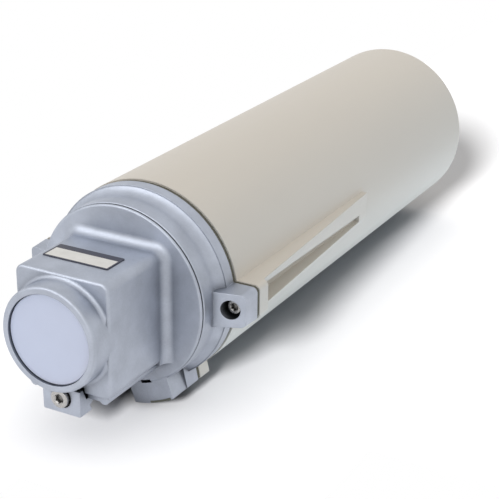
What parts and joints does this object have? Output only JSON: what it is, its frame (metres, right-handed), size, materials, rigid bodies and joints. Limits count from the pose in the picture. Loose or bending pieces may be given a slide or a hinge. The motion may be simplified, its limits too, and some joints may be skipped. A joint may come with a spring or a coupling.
{
  "type": "yagi antenna",
  "caption": "Enclosed yagi antenna: a closed plastic radome tube on a cast base with bolted side lugs, a round rear cover and a screw-driven mast clamp.",
  "frame": {"origin": "centre of the clamped mast pipe, on the antenna's plane of symmetry", "axes": "+X along the mast pipe, +Y along the radome towards its tip, +Z from the mast up through the antenna's axis to the type plate"},
  "size_m": [0.0942, 0.2855, 0.0806],
  "materials": {
    "cast_aluminium": "blasted die casting",
    "cover_plastic": "smooth pale grey",
    "seal_rubber": "matt dark",
    "plate_foil": "bare label with a dark band",
    "radome_plastic": "satin cream grey",
    "stainless_steel": "stainless",
    "element_aluminium": "drawn",
    "dark_plastic": "moulded black",
    "foam_plastic": "white foam",
    "nickel_plate": "nickel plated brass",
    "white_insulator": "white fluoropolymer",
    "contact_brass": "gold flashed",
    "copper_line": "semi-rigid copper line"
  },
  "bodies": {
    "base": {"base_casting": "cast_aluminium", "cover_disc": "cover_plastic", "cover_gasket": "seal_rubber", "type_plate": "plate_foil", "flange_gasket": "seal_rubber", "radome": "radome_plastic", "side_screws": "stainless_steel", "side_washers": "stainless_steel", "side_nuts": "stainless_steel", "lower_screws": "stainless_steel", "clamp_insert": "stainless_steel", "lug_strips": "seal_rubber", "boom": "element_aluminium", "boom_foot": "element_aluminium", "foot_screws": "stainless_steel", "boom_plug": "dark_plastic", "reflector": "element_aluminium", "dipole": "element_aluminium", "feed_block": "dark_plastic", "element_clips": "dark_plastic", "tip_support": "foam_plastic", "jack_body": "nickel_plate", "jack_gasket": "seal_rubber", "jack_nut": "nickel_plate", "jack_insulator": "white_insulator", "jack_pin": "contact_brass", "feed_line": "copper_line", "director_1": "element_aluminium", "director_2": "element_aluminium", "director_3": "element_aluminium", "director_4": "element_aluminium", "director_5": "element_aluminium", "director_6": "element_aluminium"},
    "jaw": {"clamp_jaw": "cast_aluminium", "clamp_washer": "stainless_steel"},
    "screw": {"clamp_screw": "stainless_steel"}
  },
  "joints": [
    {"name": "jaw_slide", "type": "slide", "parent": "base", "child": "jaw", "axis": [0, 1, 0], "range_m": [-0.0025, 0.0003]},
    {"name": "clamp_screw_turn", "type": "hinge", "parent": "jaw", "child": "screw", "pos_m": [0, -0.01875, 0.0179], "axis": [0, 1, 0], "range_deg": [-1286, 155]}
  ],
  "couplings": [
    {"joint": "clamp_screw_turn", "follows": "jaw_slide", "rad_per_m": 8976}
  ]
}
